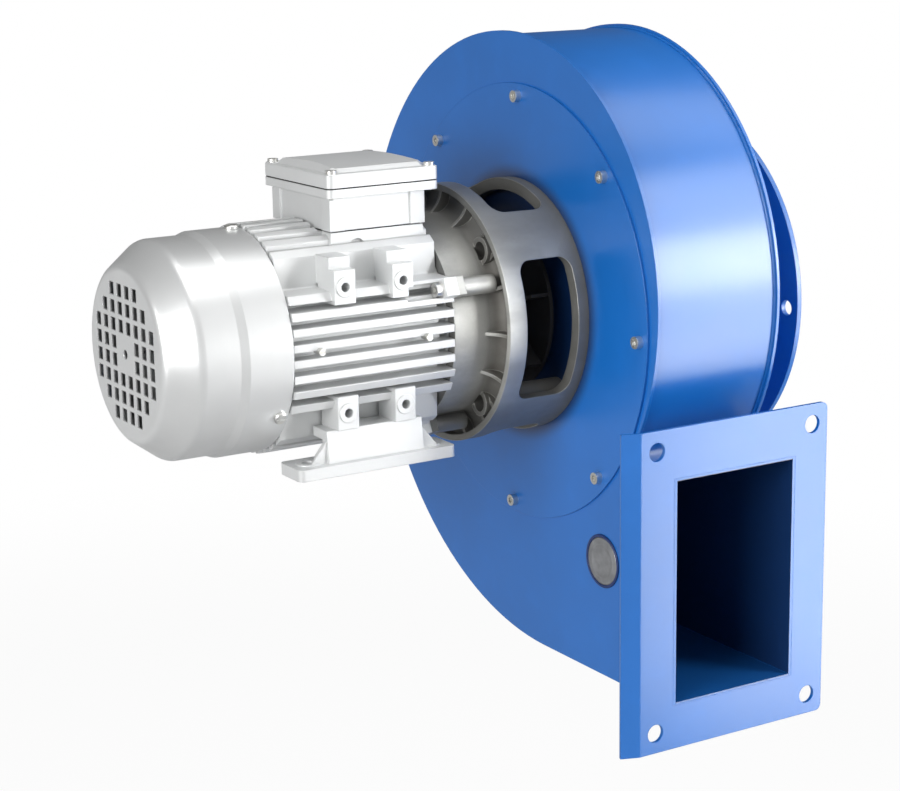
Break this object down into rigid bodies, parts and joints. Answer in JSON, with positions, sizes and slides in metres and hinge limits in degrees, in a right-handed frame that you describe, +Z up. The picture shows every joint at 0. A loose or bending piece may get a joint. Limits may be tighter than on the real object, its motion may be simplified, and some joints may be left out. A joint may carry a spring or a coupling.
{
  "type": "induced draft fan",
  "caption": "Direct-driven centrifugal blower: finned foot motor, cast lantern, painted scroll housing, rectangular outlet flange and round inlet flange.",
  "frame": {"origin": "middle of the motor feet's hole pattern, on the plane of their soles", "axes": "+X along the shaft from the motor to the inlet, the outlet faces -Y, +Z up; the shaft lies at Z = 0.090"},
  "size_m": [0.504, 0.4365, 0.5183],
  "materials": {
    "blue_paint": "glossy blue enamel on sheet steel",
    "silver_cast": "cast aluminium with silver paint",
    "silver_sheet": "pressed sheet with silver paint",
    "raw_cast": "bare cast aluminium, satin",
    "black_cast": "cast aluminium with black paint",
    "zinc_steel": "zinc-plated steel",
    "machined_steel": "turned steel",
    "lamination": "stacked electrical sheet",
    "enamelled_wire": "enamelled copper wire",
    "brass": "turned brass",
    "black_rubber": "black rubber",
    "black_plastic": "moulded plastic",
    "felt": "pressed felt",
    "badge_metal": "bare embossed disc"
  },
  "bodies": {
    "housing": {"motor_frame": "silver_cast", "nameplate_studs": "zinc_steel", "left_foot": "silver_cast", "right_foot": "silver_cast", "foot_screws": "zinc_steel", "terminal_box": "silver_cast", "box_base_gasket": "black_rubber", "lid_gasket": "black_rubber", "terminal_lid": "silver_cast", "lid_screws": "zinc_steel", "terminal_board": "black_plastic", "terminal_studs": "brass", "cable_gland": "black_plastic", "blanking_plug": "black_plastic", "rear_end_shield": "silver_cast", "rear_shield_screws": "zinc_steel", "fan_cover": "silver_sheet", "fan_cover_screws": "zinc_steel", "frame_screws": "zinc_steel", "front_bearing_outer": "machined_steel", "rear_bearing_outer": "machined_steel", "preload_washer": "machined_steel", "stator_core": "lamination", "stator_windings": "enamelled_wire", "lantern": "raw_cast", "lantern_screws": "zinc_steel", "lantern_nuts": "zinc_steel", "drive_seal": "black_rubber", "seal_retainer": "machined_steel", "shaft_seal": "felt", "seal_screws": "zinc_steel", "cover_plate": "blue_paint", "cover_screws": "zinc_steel", "cover_nuts": "zinc_steel", "motor_side_plate": "blue_paint", "inlet_side_plate": "blue_paint", "scroll_wrapper": "blue_paint", "outlet_flange": "blue_paint", "inlet_collar": "blue_paint", "inlet_flange": "blue_paint", "inlet_cone": "blue_paint", "cone_screws": "zinc_steel", "badge": "badge_metal"},
    "rotor": {"motor_shaft": "machined_steel", "rotor_core": "lamination", "front_bearing_inner": "machined_steel", "rear_bearing_inner": "machined_steel", "cooling_fan": "black_plastic", "fan_circlip": "machined_steel", "cooling_disc": "black_cast", "disc_screw": "machined_steel", "impeller_hub": "raw_cast", "impeller_back_plate": "blue_paint", "impeller_rivets": "zinc_steel", "impeller_shroud": "blue_paint", "impeller_blades": "blue_paint", "impeller_key": "machined_steel", "impeller_washer": "zinc_steel", "impeller_bolt": "zinc_steel"}
  },
  "joints": [
    {"name": "rotor_spin", "type": "hinge", "parent": "housing", "child": "rotor", "pos_m": [0, 0, 0.09], "axis": [-1, 0, 0], "continuous": true}
  ]
}
